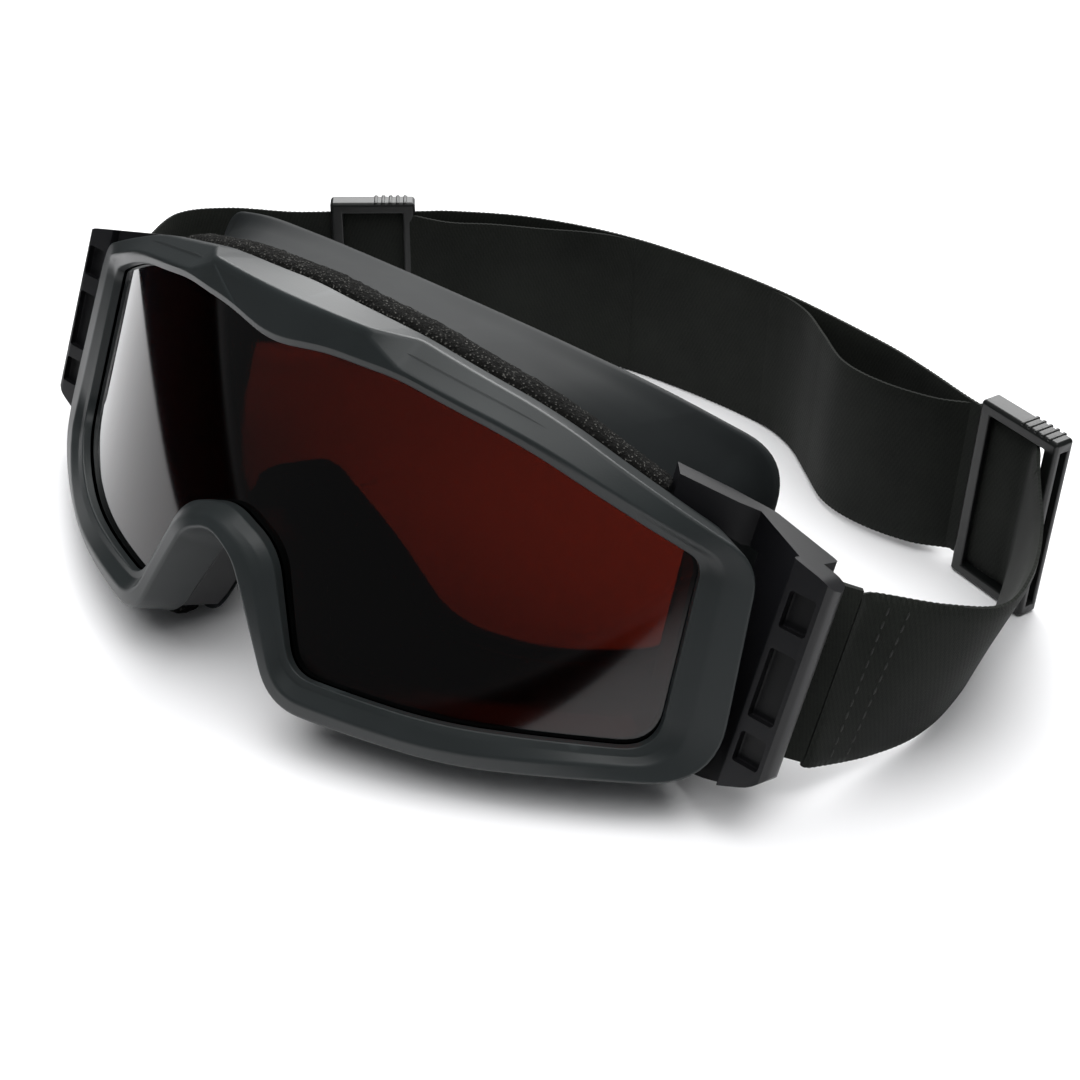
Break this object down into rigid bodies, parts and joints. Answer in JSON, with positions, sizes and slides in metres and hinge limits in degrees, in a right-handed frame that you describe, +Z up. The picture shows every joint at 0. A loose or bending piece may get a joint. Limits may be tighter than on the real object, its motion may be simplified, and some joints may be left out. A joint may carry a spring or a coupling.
{
  "type": "motorcycle goggles",
  "caption": "Wrap-lens riding goggles with a vented frame, soft face flange and foam, swinging outriggers and an elastic strap with sliding adjusters.",
  "frame": {"origin": "middle of the whole object's bounding box, on the floor it rests on", "axes": "+X to the wearer's left, seen by the viewer as right; +Y from the lens towards the back of the strap; +Z up"},
  "size_m": [0.2244, 0.1556, 0.0767],
  "materials": {
    "satin_frame": "satin moulded nylon, dark grey",
    "satin_black": "satin moulded plastic, black",
    "tinted_lens": "glossy rose-brown tinted lens",
    "vent_foam": "open-cell filter foam, dark grey",
    "face_foam": "soft closed face foam, black",
    "soft_rubber": "soft matt elastomer, dark grey",
    "strap_webbing": "woven elastic webbing, black",
    "pin_steel": "plain ground steel"
  },
  "bodies": {
    "goggles": {"bezel": "satin_frame", "lens": "tinted_lens", "chassis": "satin_black", "vent_foam_top": "vent_foam", "vent_foam_bottom_right": "vent_foam", "vent_foam_bottom_left": "vent_foam", "nose_bridge": "satin_frame", "face_flange": "soft_rubber", "face_foam": "face_foam", "hinge_pin_upper_right": "pin_steel", "hinge_pin_lower_right": "pin_steel", "hinge_pin_upper_left": "pin_steel", "hinge_pin_lower_left": "pin_steel", "strap_band": "strap_webbing"},
    "outrigger_right": {"outrigger_right": "satin_black", "strap_anchor_right": "strap_webbing"},
    "outrigger_left": {"outrigger_left": "satin_black", "strap_anchor_left": "strap_webbing"},
    "slider_right": {"slider_right": "satin_black", "strap_slack_right": "strap_webbing"},
    "slider_left": {"slider_left": "satin_black", "strap_slack_left": "strap_webbing"}
  },
  "joints": [
    {"name": "swing_right", "type": "hinge", "parent": "goggles", "child": "outrigger_right", "pos_m": [0.06361, -0.02909, 0.02901], "axis": [0, 0.3947, 0.9188], "range_deg": [0, 12]},
    {"name": "swing_left", "type": "hinge", "parent": "goggles", "child": "outrigger_left", "pos_m": [-0.07609, -0.02909, 0.02901], "axis": [0, -0.3947, -0.9188], "range_deg": [0, 12]},
    {"name": "slide_right", "type": "slide", "parent": "goggles", "child": "slider_right", "axis": [-0.9613, 0.2756, 0], "range_m": [0, 0.006]},
    {"name": "slide_left", "type": "slide", "parent": "goggles", "child": "slider_left", "axis": [0.7242, 0.6896, 0], "range_m": [-0.008, 0.008]}
  ]
}
